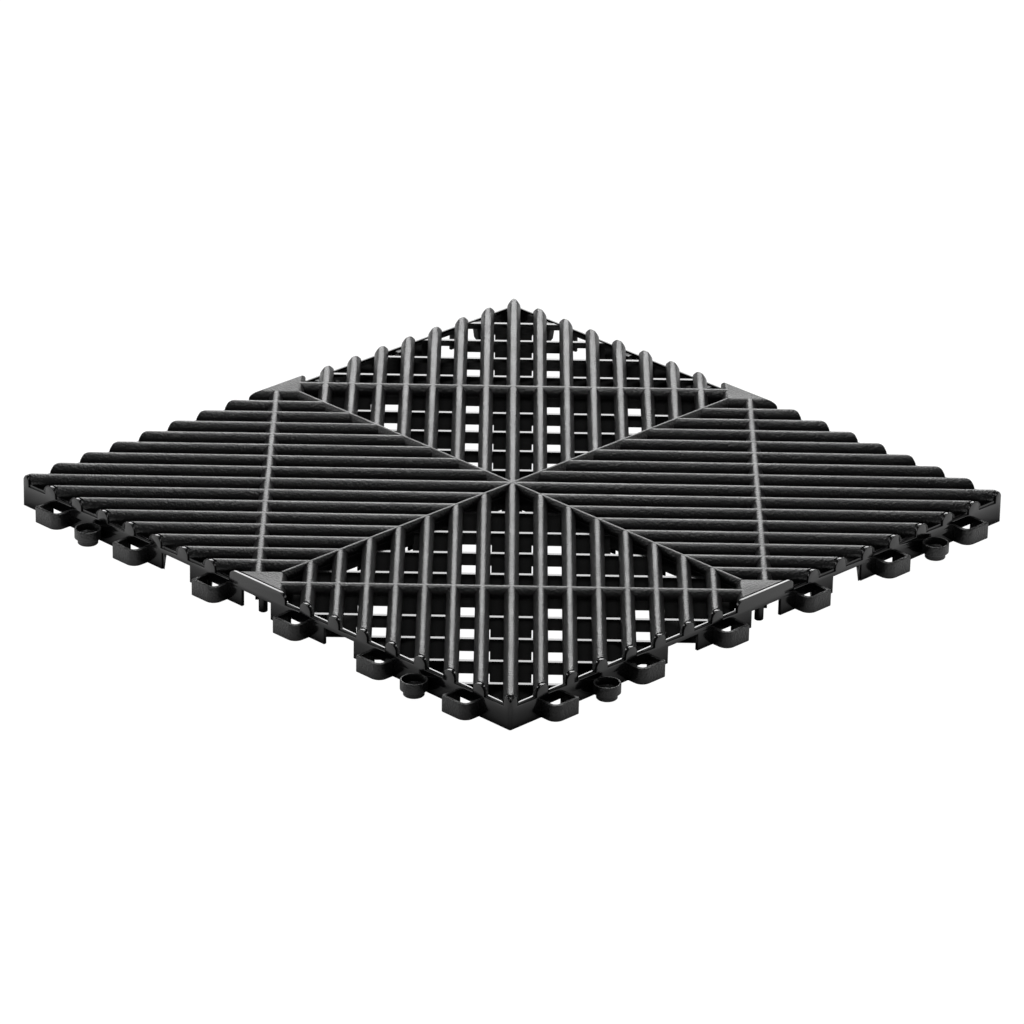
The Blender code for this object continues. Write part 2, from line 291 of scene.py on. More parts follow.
class SolidDraft:
    """Collects closed bodies in millimetres and turns them into one object.

    Attributes:
        name: Name of the object.
        mesh: The bodies so far.
    """

    def __init__(self, name: str) -> None:
        """Starts an empty draft of an object with this name."""
        self.name = name
        self.mesh = bmesh.new()

    def loft(self, rings: Sequence[Sequence[Point3]]) -> None:
        """Joins rings of equally many points in order, and closes both ends.

        Args:
            rings: The rings, each a closed line of points.
        """
        made = [[self.mesh.verts.new(point) for point in ring] for ring in rings]
        count = len(made[0])
        for ring, following in zip(made, made[1:]):
            for i in range(count):
                j = (i + 1) % count
                self.mesh.faces.new((ring[i], ring[j], following[j], following[i]))
        self.mesh.faces.new(made[0])
        self.mesh.faces.new(made[-1])

    def slab(self, plan: Sequence[Point2], low: float, high: float, place: Placing,
             rounding: float = 0.4) -> None:
        """Stands a plan outline up between two heights, with its upper edge rounded.

        Args:
            plan: Outline of the body in plan.
            low: Height of its underside.
            high: Height of its top.
            place: Placing rule of the plan.
            rounding: Radius of the upper edge.
        """
        levels = [(0.0, low)]
        levels += [(inset, high - drop) for drop, inset in reversed(edge_rounding(rounding))]
        rings = [[place(x, y, z) for x, y in inset_outline(plan, inset)] for inset, z in levels]
        self.loft(rings)

    def turned(self, profile: Sequence[Point2], centre: Point2, steps: int, place: Placing) -> None:
        """Turns a profile round an upright axis.

        Args:
            profile: (radius, height) points from the underside to where the body closes.
            centre: The axis in plan.
            steps: Number of flat faces round the body.
            place: Placing rule of the plan.
        """
        rings = []
        for radius, z in profile:
            circle = arc(centre, radius, 0.0, 360.0 * (steps - 1) / steps, steps - 1)
            rings.append([place(x, y, z) for x, y in circle])
        self.loft(rings)

    def finished(self, smooth_angle: float = 38.0) -> bpy.types.Object:
        """Makes the object.

        Args:
            smooth_angle: Edges that turn more than this many degrees stay sharp.

        Returns:
            The object, in metres.
        """
        bmesh.ops.recalc_face_normals(self.mesh, faces=self.mesh.faces)
        bmesh.ops.scale(self.mesh, vec=(MM, MM, MM), verts=self.mesh.verts)
        data = bpy.data.meshes.new(self.name)
        self.mesh.to_mesh(data)
        self.mesh.free()
        data.shade_smooth()
        data.set_sharp_from_angle(angle=math.radians(smooth_angle))
        thing = bpy.data.objects.new(self.name, data)
        bpy.context.scene.collection.objects.link(thing)
        return thing


def linear(colour: str) -> tuple[float, float, float, float]:
    """Converts an sRGB colour such as #1d1d1e to the linear values that shaders take.

    Args:
        colour: The colour as six hexadecimal digits after a #.

    Returns:
        Red, green and blue from 0 to 1, and an alpha of 1.
    """
    values = []
    # The sRGB curve is straight up to 0.04045 and a power of 2.4 above it.
    for i in (1, 3, 5):
        share = int(colour[i : i + 2], 16) / 255
        values.append(share / 12.92 if share <= 0.04045 else ((share + 0.055) / 1.055) ** 2.4)
    return (values[0], values[1], values[2], 1.0)


def add_node(tree: bpy.types.NodeTree, kind: str, inputs: dict[str | int, Any] | None = None,
             **settings: Any) -> bpy.types.Node:
    """Adds a shader node.

    Args:
        tree: The node tree to add it to.
        kind: Blender's name of the node type.
        inputs: For each socket its value, or the output socket that feeds it.
        settings: Attributes of the node.

    Returns:
        The new node.
    """
    node = tree.nodes.new(kind)
    for name, value in settings.items():
        setattr(node, name, value)
    for socket, value in (inputs or {}).items():
        if isinstance(value, bpy.types.NodeSocket):
            tree.links.new(value, node.inputs[socket])
        else:
            node.inputs[socket].default_value = value
    return node


@dataclass(frozen=True)
class BlackPolypropylene:
    """Injection-moulded black polypropylene.

    Carbon black makes the body colour a neutral near-black, so what the eye gets is the plastic's
    own gloss: a soft grey sheen on the crests and near-black flanks.

    Attributes:
        name: Name of the material.
        roughness: Roughness of the moulded face.
        grain_depth: Depth of the mould's spark-eroded grain in millimetres.
        grain_size: Size of a grain in millimetres. Real grain is about 0.2 mm across, under a
            pixel in the photograph, so it is drawn coarser and deeper.
        colour: Colour of the plastic with its carbon black.
        ior: Index of refraction of polypropylene.
        gloss_variation: How far the roughness strays to both sides.
        gloss_patch: Size of the duller and glossier patches in millimetres.
        grain_detail: Number of finer layers in the grain's noise.
        grain_fineness: How strong those layers are.
        patch_detail: Number of finer layers in the patches' noise.
        patch_range: Range of that noise over which the roughness strays.
    """

    name: str
    roughness: float
    grain_depth: float = 0.45
    grain_size: float = 1.3
    colour: str = "#080809"
    ior: float = 1.49
    gloss_variation: float = 0.05
    gloss_patch: float = 24.0
    grain_detail: float = 2.0
    grain_fineness: float = 0.55
    patch_detail: float = 3.0
    patch_range: Point2 = (0.3, 0.7)

    def material(self) -> bpy.types.Material:
        """Builds the material, or gives the one that has been built before.

        Returns:
            The material.
        """
        known = bpy.data.materials.get(self.name)
        if known:
            return known
        material = bpy.data.materials.new(self.name)
        material.use_nodes = True
        tree = material.node_tree
        tree.nodes.clear()
        place = add_node(tree, "ShaderNodeTexCoord")
        # Grain of the mould: it breaks the sheen on the crests into a faint sparkle.
        grain = add_node(tree, "ShaderNodeTexNoise", {
            "Vector": place.outputs["Object"],
            "Scale": 1.0 / (self.grain_size * MM),
            "Detail": self.grain_detail,
            "Roughness": self.grain_fineness,
        })
        relief = add_node(tree, "ShaderNodeBump", {
            "Height": grain.outputs["Fac"],
            "Strength": 1.0,
            "Distance": self.grain_depth * MM,
        })
        # Where the melt cooled faster the skin is slightly duller, in patches of a few centimetres.
        patches = add_node(tree, "ShaderNodeTexNoise", {
            "Vector": place.outputs["Object"],
            "Scale": 1.0 / (self.gloss_patch * MM),
            "Detail": self.patch_detail,
        })
        gloss = add_node(tree, "ShaderNodeMapRange", {
            "Value": patches.outputs["Fac"],
            "From Min": self.patch_range[0],
            "From Max": self.patch_range[1],
            "To Min": self.roughness - self.gloss_variation,
            "To Max": self.roughness + self.gloss_variation,
        })
        surface = add_node(tree, "ShaderNodeBsdfPrincipled", {
            "Base Color": linear(self.colour),
            "Roughness": gloss.outputs["Result"],
            "IOR": self.ior,
            "Normal": relief.outputs["Normal"],
        })
        add_node(tree, "ShaderNodeOutputMaterial", {"Surface": surface.outputs["BSDF"]})
        return material


# The ribs and couplings have the mould's grain, the flat plates are duller, and the walls, lattice
# and feet are nearly polished, so that their upper faces mirror the bright background.
TEXTURED = BlackPolypropylene("textured_black_polypropylene", roughness=0.37)
MATT = BlackPolypropylene("matt_black_polypropylene", roughness=0.47)
SMOOTH = BlackPolypropylene("smooth_black_polypropylene", roughness=0.13, grain_depth=0.01,
                            gloss_variation=0.03)


@dataclass
class TileFeature:
    """One moulded feature of the tile, drawn as an object of its own.

    Attributes:
        sizes: Sizes that the features share.
        finish: Finish of the plastic's face.
    """

    sizes: TileSizes = field(default_factory=TileSizes)
    finish: BlackPolypropylene = TEXTURED

    def draft(self) -> SolidDraft:
        """Draws the bodies of the feature."""
        raise NotImplementedError

    def build(self) -> bpy.types.Object:
        """Makes the feature's object and ties it to the frame.

        Returns:
            The object.
        """
        piece = self.draft().finished()
        piece.data.materials.append(self.finish.material())
        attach(piece, BODY)
        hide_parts(CAD_NODE)
        log.info("%s: %d faces", piece.name, len(piece.data.polygons))
        return piece

    def placing(self, side: Side) -> Placing:
        """Gives the placing rule of a side of this tile."""
        return on_side(side, self.sizes.half)


# Half section of a rib as the photograph shows it: (across, height).
ARCH = [
    (0.0, 19.4), (0.8, 19.35), (1.5, 19.1), (2.1, 18.6), (2.8, 17.8),
    (3.5, 16.9), (4.0, 16.0), (4.15, 15.2), (4.15, 13.7),
]
GROOVE_FLOOR = 18.4


@dataclass
class ArchedRibs(TileFeature):
    """The arched ribs, parallel to the diagonal of their quadrant.

    Attributes:
        groove_inside: Distance of a rib's full end from a near side's plane.
        neck_end: Distance from that plane to which its lower neck runs.
        overlap: How far a rib runs into the divider's middle.
        web_foot: Half width and height of the lower edge of a rib's webs.
        web_end: Distance from a far side at which the webs end over the passages.
        hollow: Half width and top of the hollow under a rib.
        hollow_chords: Number of flat faces on each half of its round top.
        dome: Length and drop of the rounded end at a far side.
        dome_end: Distance of that end from the side's plane.
        dome_skew: How far that end follows the side's direction, and not the rib's own.
        dome_taper: Loss of half width for each millimetre of its drop.
        dome_angles: Angles of its rings in degrees, from the shoulder to the tip.
    """

    groove_inside: float = 2.9
    neck_end: float = 1.2
    overlap: float = 0.4
    web_foot: Point2 = (3.95, 8.6)
    web_end: float = 18.5
    hollow: Point2 = (2.4, 17.5)
    hollow_chords: int = 3
    dome: Point2 = (1.6, 2.7)
    dome_end: float = 0.95
    dome_skew: float = 0.6
    dome_taper: float = 0.4
    dome_angles: Sequence[int] = range(0, 81, 16)

    def section(self, ceiling: float = math.inf, floor: float = 0.0) -> list[Point2]:
        """Gives the outline of a rib, hollow underneath.

        Args:
            ceiling: Height above which the arch is cut off.
            floor: Height below which the webs are cut off.

        Returns:
            (across, height) points in order.
        """
        half, top = self.hollow
        low = self.web_foot[1]
        inner = [(half, low)] + arc((0.0, top - half), half, 0.0, 90.0, self.hollow_chords)
        right = inner[::-1] + [self.web_foot] + ARCH[::-1]
        return mirrored([(across, min(max(z, floor), ceiling)) for across, z in right])

    def ring(self, quadrant: Quadrant, number: int, outline: Sequence[Point2],
             inside: float | None, skew: float = 1.0) -> list[Point3]:
        """Places the outline of a rib where it is cut.

        Args:
            quadrant: The quarter of the tile.
            number: Place of the rib, counted from the quarter's diagonal.
            outline: (across, height) points.
            inside: Distance of the cut from the side's plane, or None for the cut at the dividers.
            skew: How far the cut follows the side's direction, and not the rib's own.

        Returns:
            The points of the ring.
        """
        place = in_quadrant(quadrant)
        centre = number * self.sizes.rib_pitch
        points = []
        for across, z in outline:
            distance = abs(centre + across) + self.overlap * ROOT_TWO
            if inside is not None:
                distance = self.sizes.diagonal - abs(centre + across * skew) - inside * ROOT_TWO
            points.append(place(distance, centre + across, z))
        return points

    def near_rib(self, draft: SolidDraft, quadrant: Quadrant, number: int) -> None:
        """Draws a rib that ends at the groove of a near side, with a lower neck up to the wall.

        Args:
            draft: The draft to add it to.
            quadrant: The quarter of the tile.
            number: Place of the rib, counted from the quarter's diagonal.
        """
        ring = partial(self.ring, quadrant, number)
        whole = self.section()
        neck = self.section(ceiling=GROOVE_FLOOR, floor=self.sizes.rib_underside)
        draft.loft([ring(whole, None), ring(whole, self.groove_inside),
                    ring(neck, self.groove_inside), ring(neck, self.neck_end)])

    def far_rib(self, draft: SolidDraft, quadrant: Quadrant, number: int) -> None:
        """Draws a rib that ends round at a far side, with its webs cut short of the passages.

        Args:
            draft: The draft to add it to.
            quadrant: The quarter of the tile.
            number: Place of the rib, counted from the quarter's diagonal.
        """
        ring = partial(self.ring, quadrant, number)
        low = self.sizes.rib_underside
        whole, short = self.section(), self.section(floor=low)
        length, fall = self.dome
        shoulder = self.dome_end + length
        draft.loft([ring(whole, None), ring(whole, self.web_end),
                    ring(short, self.web_end), ring(short, shoulder)])
        rounded = []
        for angle in map(math.radians, self.dome_angles):
            inside = shoulder - length * math.sin(angle)
            drop = fall * (1 - math.cos(angle))
            narrow = 1 - self.dome_taper * drop / ARCH[-1][0]
            lower = 1 - drop / (self.sizes.crest - low)
            outline = [(a * narrow, low + (z - low) * lower) for a, z in mirrored(ARCH[::-1])]
            skew = 1 - (1 - self.dome_skew) * (shoulder - inside) / length
            rounded.append(ring(outline, inside, skew))
        draft.loft(rounded)

    def draft(self) -> SolidDraft:
        """Draws all ribs.

        Returns:
            The draft.
        """
        draft = SolidDraft("arched_ribs")
        reach = self.sizes.ribs_each_side
        for quadrant in Quadrant:
            for number in range(-reach, reach + 1):
                draw = self.far_rib if quadrant.rib_ends_far(number) else self.near_rib
                draw(draft, quadrant, number)
        return draft


@dataclass
class CrossRibs(TileFeature):
    """One arched rib across the middle of each quadrant, from plate to plate.

    Attributes:
        plate_half_base: Half width of a plate at the side's plane, with its flanks.
        overlap: How far a rib runs into the plates.
    """

    plate_half_base: float = 20.0
    overlap: float = 1.0

    def draft(self) -> SolidDraft:
        """Draws the four cross ribs.

        Returns:
            The draft.
        """
        draft = SolidDraft("cross_ribs")
        outline = mirrored(ARCH[::-1])
        middle = self.sizes.diagonal / 2
        reach = middle - self.plate_half_base / ROOT_TWO + self.overlap
        for quadrant in Quadrant:
            place = in_quadrant(quadrant)
            draft.loft([[place(middle + a, end, z) for a, z in outline] for end in (-reach, reach)])
        return draft


@dataclass
class LatticeWalls(TileFeature):
    """The lower walls across the ribs, standing on the floor between their drain channels.

    Attributes:
        pitch: Distance between walls.
        each_side: Number of walls on each side of a quadrant's middle.
        thickness: Thickness of a wall.
        clearance: Height of the walls over the floor.
        channels: Start and end of the drain channels, measured from the diagonal.
        channel_height: Height of the drain channels under the walls.
        raised_end: Start and underside of the raised ends of the middle wall.
        middle_narrowing: How much later the channels start under the middle wall.
        edge: Radius of the upper edges.
        end_wall: Least length of wall beyond a channel.
        divider_gap: Distance of the walls' ends from the middle of a divider.
        wall_gap: Distance of the walls' ends from the side's plane.
    """

    finish: BlackPolypropylene = SMOOTH
    pitch: float = 27.9
    each_side: int = 4
    thickness: float = 3.0
    clearance: float = 0.2
    channels: tuple[Point2, ...] = ((11.4, 36.2), (61.4, 85.2))
    channel_height: float = 6.4
    raised_end: Point2 = (124.0, 8.5)
    middle_narrowing: float = 0.8
    edge: float = 0.35
    end_wall: float = 4.0
    divider_gap: float = 2.1
    wall_gap: float = 0.8

    def outline(self, number: int, shortest: float, reach: float, drop: float) -> list[Point2]:
        """Gives the outline of a wall seen along the ribs.

        Args:
            number: Place of the wall, counted from the quarter's middle.
            shortest: Half length of the shorter face, which sets how many channels fit.
            reach: Half length of the wall here.
            drop: Distance of the top below the wall's full height.

        Returns:
            (across, height) points in order.
        """
        low, roof = self.clearance, self.channel_height
        half: list[Point2] = []
        for start, end in self.channels:
            if number == 0:
                start += self.middle_narrowing
            if end + self.end_wall < shortest:
                half += [(start, low), (start, roof), (end, roof), (end, low)]
        if number in (0, self.each_side):
            # The middle wall ends over the drain openings, the one at the corner in a channel.
            start, underside = self.raised_end if number == 0 else (self.channels[0][0], roof)
            half += [(start, low), (start, underside), (reach, underside)]
        else:
            half += [(reach, low)]
        return mirrored(half + [(reach, self.sizes.rib_underside - drop)])

    def draft(self) -> SolidDraft:
        """Draws all walls across the ribs.

        Returns:
            The draft.
        """
        draft = SolidDraft("lattice_walls")
        sizes = self.sizes
        divider_inset, wall_inset = self.divider_gap * ROOT_TWO, self.wall_gap * ROOT_TWO
        half = self.thickness / 2
        steps = [(-half, self.edge), (-half + self.edge, 0.0),
                 (half - self.edge, 0.0), (half, self.edge)]
        for quadrant in Quadrant:
            place = in_quadrant(quadrant)
            for number in range(-self.each_side, self.each_side + 1):
                middle = sizes.diagonal / 2 + number * self.pitch
                ends = [middle - half, middle + half]
                limits = [min(x - divider_inset, sizes.diagonal - x - wall_inset) for x in ends]
                shortest = min(limits)
                rings = []
                for step, drop in steps:
                    share = (step + half) / self.thickness
                    reach = limits[0] + (limits[1] - limits[0]) * share
                    reach = shortest if number == 0 else reach
                    line = self.outline(number, shortest, reach, drop)
                    rings.append([place(middle + step, x, z) for x, z in line])
                draft.loft(rings)
        return draft


@dataclass
class Dividers(TileFeature):
    """The two walls that split the tile in four, thin above a wider foot.

    Attributes:
        thickness: Thickness at the top.
        foot: Thickness of the foot.
        raised: Height of the underside over the floor.
        ledge: Height of the foot's top.
        end_inside: Distance of the ends from the side's plane.
        flank: Half thickness between the foot and the slanted flank.
        flank_foot: Height at which that flank starts.
        foot_edge: Inset and drop of the foot's upper edge.
        top_edge: (inset, drop) points of the rounded upper edge.
        stagger: How much lower one divider lies, so that their faces don't coincide.
    """

    thickness: float = 2.0
    foot: float = 5.0
    raised: float = 6.0
    ledge: float = 14.0
    end_inside: float = 19.5
    flank: float = 2.1
    flank_foot: float = 16.0
    foot_edge: Point2 = (0.2, 0.3)
    top_edge: tuple[Point2, ...] = ((0.0, 0.6), (0.15, 0.2), (0.5, 0.0))
    stagger: float = 0.1

    def draft(self) -> SolidDraft:
        """Draws both dividers, from plate to plate.

        Returns:
            The draft.
        """
        draft = SolidDraft("dividers")
        sizes = self.sizes
        reach = sizes.half - self.end_inside
        for along_x in (True, False):
            lower = self.stagger if along_x else 0.0
            low, top, ledge = self.raised - lower, sizes.height - lower / 2, self.ledge - lower
            thin, foot = self.thickness / 2, self.foot / 2
            inset, drop = self.foot_edge
            right = [(foot, low), (foot, ledge - drop), (foot - inset, ledge)]
            right += [(self.flank, ledge), (self.flank, self.flank_foot)]
            right += [(thin - inset, top - drop) for inset, drop in self.top_edge]
            line = mirrored(right)
            draft.loft([[(end, a, z) if along_x else (a, end, z) for a, z in line]
                        for end in (-reach, reach)])
        return draft


@dataclass(frozen=True)
class WallLayer:
    """A layer of the outer wall, which is stepped between its tongues.

    Attributes:
        top: Height of the layer between the tongues.
        rings: (depth behind the side's plane, inset of the outline), from outside to inside.
    """

    top: float
    rings: tuple[Point2, ...]


@dataclass
class OuterWall(TileFeature):
    """The outer wall. The near sides have a tongue at every rib end and a rim at the plate.

    Attributes:
        layers: The outer skin and the higher inner layer.
        tongue: Half section of a tongue: (along the side, height).
        tongue_foot: Half width of a tongue where it leaves the wall's top.
        corner_tongue: Section of the small tongue at a corner: (from the corner, height).
        corner_tongue_foot: Distance from the corner at which that tongue ends.
        tongue_inside: Depth at which a tongue meets the middle of its rib.
        rim_half: Half width of the flat rim in front of a plate.
        corner_radius: Radius of the upright edges at the corners.
        loop_passage: Width of a far side's passage for a loop of the next tile.
        cup_passage: Width of its passage for a round socket.
        drain_width: Width of a near side's drain openings.
        door_width: Width of the low doors behind its loops.
    """

    finish: BlackPolypropylene = SMOOTH
    layers: tuple[WallLayer, ...] = (
        WallLayer(13.0, ((0.0, 0.4), (0.05, 0.26), (0.12, 0.12), (0.25, 0.03), (0.4, 0.0),
                         (0.59, 0.0), (1.0, 0.0))),
        WallLayer(14.3, ((0.96, 0.03), (1.9, 0.03), (2.1, 0.12), (2.2, 0.3))),
    )
    tongue: tuple[Point2, ...] = (
        (0.0, 19.35), (1.2, 19.2), (2.2, 18.8), (3.0, 18.2), (3.6, 17.4), (3.95, 16.5),
        (4.15, 15.6), (4.3, 14.6),
    )
    tongue_foot: float = 4.4
    corner_tongue: tuple[Point2, ...] = (
        (0.0, 16.0), (1.0, 16.8), (1.6, 17.9), (2.3, 18.8), (3.3, 19.25), (4.2, 18.9),
        (4.8, 18.2), (5.2, 17.2), (5.4, 16.2), (5.5, 14.6),
    )
    corner_tongue_foot: float = 5.65
    tongue_inside: float = 2.0
    rim_half: float = 18.6
    corner_radius: float = 2.0
    loop_passage: float = 22.0
    cup_passage: float = 19.2
    drain_width: float = 23.6
    door_width: float = 13.4

    def top_line(self, side: Side, top: float) -> list[Point2]:
        """Gives the upper outline of a side, from its start corner to its end corner.

        Args:
            side: The side of the tile.
            top: Height of the wall between its tongues.

        Returns:
            (along the side, height) points.
        """
        sizes = self.sizes
        if not side.carries_loops:
            return [(0.0, top), (sizes.side, top)]
        tongue = list(self.tongue) + [(self.tongue_foot, top)]
        line = list(self.corner_tongue) + [(self.corner_tongue_foot, top)]
        for number in range(1, sizes.ribs_each_side + 1):
            centre = self.tongue_inside + number * sizes.rib_pitch * ROOT_TWO
            line += [(centre - a, z) for a, z in reversed(tongue)]
            line += [(centre + a, z) for a, z in tongue[1:]]
        line += [(sizes.half - self.rim_half - a, z) for a, z in reversed(tongue)]
        return line + [(sizes.side - t, z) for t, z in reversed(line)]

    def openings(self, side: Side) -> list[Point3]:
        """Gives the openings of a side.

        Args:
            side: The side of the tile.

        Returns:
            (distance from the start corner, width, height) of each, in order.
        """
        sizes = self.sizes
        tall = sizes.opening_height
        loops, cups = sizes.stations(side, LOOP_PLACES), sizes.stations(side, CUP_PLACES)
        if side.carries_loops:
            drains = sizes.stations(side, DRAIN_PLACES)
            holes = [(t, self.drain_width, tall) for t in drains]
            holes += [(t, self.door_width, sizes.door_height) for t in loops]
        else:
            holes = [(t, self.loop_passage, tall) for t in loops]
            holes += [(t, self.cup_passage, tall) for t in cups]
        return sorted(holes)

    def outline(self, side: Side, top: float) -> list[Point2]:
        """Gives the closed outline of a side's wall.

        Args:
            side: The side of the tile.
            top: Height of the wall between its tongues.

        Returns:
            (along the side, height) points in order.
        """
        bottom: list[Point2] = [(0.0, 0.0)]
        for centre, width, roof in self.openings(side):
            left, right = centre - width / 2, centre + width / 2
            bottom += [(left, 0.0), (left, roof), (right, roof), (right, 0.0)]
        bottom.append((self.sizes.side, 0.0))
        return bottom + self.top_line(side, top)[::-1]

    def corner_limit(self, depth: float) -> float:
        """Gives how near to the corner the wall reaches, with the corner rounded.

        Args:
            depth: Depth behind the side's plane.

        Returns:
            The distance from the corner.
        """
        radius = self.corner_radius
        rest = max(radius - depth, 0.0)
        return max(radius - math.sqrt(radius ** 2 - rest ** 2), depth)

    def draft(self) -> SolidDraft:
        """Draws the wall of all four sides.

        Returns:
            The draft.
        """
        draft = SolidDraft("outer_wall")
        for side in Side:
            place = self.placing(side)
            for layer in self.layers:
                outline = self.outline(side, layer.top)
                rings = []
                for depth, inset in layer.rings:
                    limit = self.corner_limit(depth)
                    ring = []
                    for t, z in inset_outline(outline, inset):
                        along = min(max(t, limit), self.sizes.side - limit)
                        ring.append(place(along, -depth, max(z, 0.0)))
                    rings.append(ring)
                draft.loft(rings)
        return draft


@dataclass
class SidePlates(TileFeature):
    """The triangular plates in the middle of the sides, level with the ribs.

    Attributes:
        half_base: Half width of the flat top at the side plane.
        groove_inside: Distance of a near plate's full height from the side plane.
        far_edge: Distance of a far plate from the side plane.
        far_rounding: Radius of a far plate's outer edge.
        neck_end: Distance from the side plane to which the groove's floor runs.
        neck_overlap: How far that floor runs under the plate.
        neck_inset: How far its flanks lie inside those of the plate.
    """

    finish: BlackPolypropylene = MATT
    half_base: float = 17.5
    groove_inside: float = 2.9
    far_edge: float = 0.25
    far_rounding: float = 3.4
    neck_end: float = 1.2
    neck_overlap: float = 0.4
    neck_inset: float = 0.05

    def outer_depth(self, side: Side, z: float) -> float:
        """Gives how far inside the side's plane a plate ends at a height.

        Args:
            side: The side of the tile.
            z: The height.

        Returns:
            The distance, which grows towards the top where a far plate is rounded.
        """
        if side.carries_loops:
            return self.groove_inside
        radius = self.far_rounding
        rise = min(max(radius - (self.sizes.crest - z), 0.0), radius)
        return self.far_edge + radius - math.sqrt(radius ** 2 - rise ** 2)

    def neck(self, draft: SolidDraft, side: Side) -> None:
        """Draws the floor of the groove in front of a near plate.

        Args:
            draft: The draft to add it to.
            side: The side of the tile.
        """
        place, middle = self.placing(side), self.sizes.half
        ends = []
        for depth in (self.groove_inside + self.neck_overlap, self.neck_end):
            right = []
            for a, z in reversed(ARCH):
                half = self.half_base + ROOT_TWO * a - depth - self.neck_inset
                right.append((half, min(z, GROOVE_FLOOR)))
            line = right + [(-half, z) for half, z in reversed(right)]
            ends.append([place(middle + t, -depth, z) for t, z in line])
        draft.loft(ends)

    def draft(self) -> SolidDraft:
        """Draws the plates and the grooves.

        Returns:
            The draft.
        """
        draft = SolidDraft("side_plates")
        middle = self.sizes.half
        for side in Side:
            place = self.placing(side)
            rings = []
            for a, z in reversed(ARCH):
                near = -self.outer_depth(side, z)
                half = self.half_base + ROOT_TWO * a + near
                plan = [(middle - half, near), (middle + half, near), (middle, near - half)]
                rings.append([place(t, d, z) for t, d in plan])
            draft.loft(rings)
            if side.carries_loops:
                self.neck(draft, side)
        return draft


@dataclass
class LockingLoops(TileFeature):
    """The open loops on the near sides that take the pegs of the next tile.

    Attributes:
        height: Height of a loop.
        root: Distance outwards at which its ends start, inside the wall.
        big_corner: Radius of one outer corner.
        small_corner: Radius of the other.
        inner_corner: Radius inside the small corner.
        edge: Radius of the upper edges.
        chords: Number of flat faces of its rounded corners: big and small outside, small and
            big inside.
    """

    height: float = 9.5
    root: float = -1.1
    big_corner: float = 5.5
    small_corner: float = 1.5
    inner_corner: float = 0.5
    edge: float = 0.4
    chords: tuple[int, int, int, int] = (8, 4, 2, 6)

    def plan(self, t: float) -> list[Point2]:
        """Gives the outline of a loop: (along the side, outwards).

        Args:
            t: Distance of the loop's middle from the start corner of the side.

        Returns:
            The points in order.
        """
        sizes = self.sizes
        root, reach, wall = self.root, sizes.loop_reach, sizes.loop_wall
        left, right = t - sizes.loop_length / 2, t + sizes.loop_length / 2
        big, small, inner = self.big_corner, self.small_corner, self.inner_corner
        big_out, small_out, small_in, big_in = self.chords
        points = [(left, root)]
        points += arc((left + big, reach - big), big, 180, 90, big_out)
        points += arc((right - small, reach - small), small, 90, 0, small_out)
        points += [(right, root), (right - wall, root)]
        points += arc((right - wall - inner, reach - wall - inner), inner, 0, 90, small_in)
        points += arc((left + big, reach - big), big - wall, 90, 180, big_in)
        return points + [(left + wall, root)]

    def draft(self) -> SolidDraft:
        """Draws all loops.

        Returns:
            The draft.
        """
        draft = SolidDraft("locking_loops")
        for side in (Side.FRONT, Side.RIGHT):
            for t in self.sizes.stations(side, LOOP_PLACES):
                draft.slab(self.plan(t), 0.0, self.height, self.placing(side), self.edge)
        return draft


@dataclass
class RoundSockets(TileFeature):
    """The stepped round sockets of the near sides, open at the top.

    Attributes:
        diameter: Diameter of the rim.
        lower_diameter: Diameter below the step.
        height: Height of the rim.
        step: Height of the step.
        wall: Thickness of the wall and the floor.
        centre_outside: Distance of the axis from the side's plane.
        edge: Radius of the edges.
        bend: Distance of a rounded edge's middle from the sharp corner.
        inner_edge: Radius where the floor meets the wall.
        chords: Number of flat faces round a socket.
    """

    diameter: float = 15.4
    lower_diameter: float = 11.8
    height: float = 9.4
    step: float = 3.4
    wall: float = 1.1
    centre_outside: float = 7.0
    edge: float = 0.4
    bend: float = 0.12
    inner_edge: float = 0.5
    chords: int = 48

    def draft(self) -> SolidDraft:
        """Draws all sockets.

        Returns:
            The draft.
        """
        draft = SolidDraft("round_sockets")
        outer, lower = self.diameter / 2, self.lower_diameter / 2
        inner, top, step = outer - self.wall, self.height, self.step
        edge, bend, floor = self.edge, self.bend, step + self.wall
        profile = [
            (lower - edge, 0.0), (lower, edge), (lower, step), (outer - edge, step),
            (outer, step + edge), (outer, top - edge), (outer - bend, top - bend),
            (outer - edge, top), (inner + edge, top), (inner + bend, top - bend),
            (inner, top - edge), (inner, floor + self.inner_edge), (inner - self.inner_edge, floor),
        ]
        for side in (Side.FRONT, Side.RIGHT):
            for t in self.sizes.stations(side, CUP_PLACES):
                centre = (t, self.centre_outside)
                draft.turned(profile, centre, self.chords, self.placing(side))
        return draft


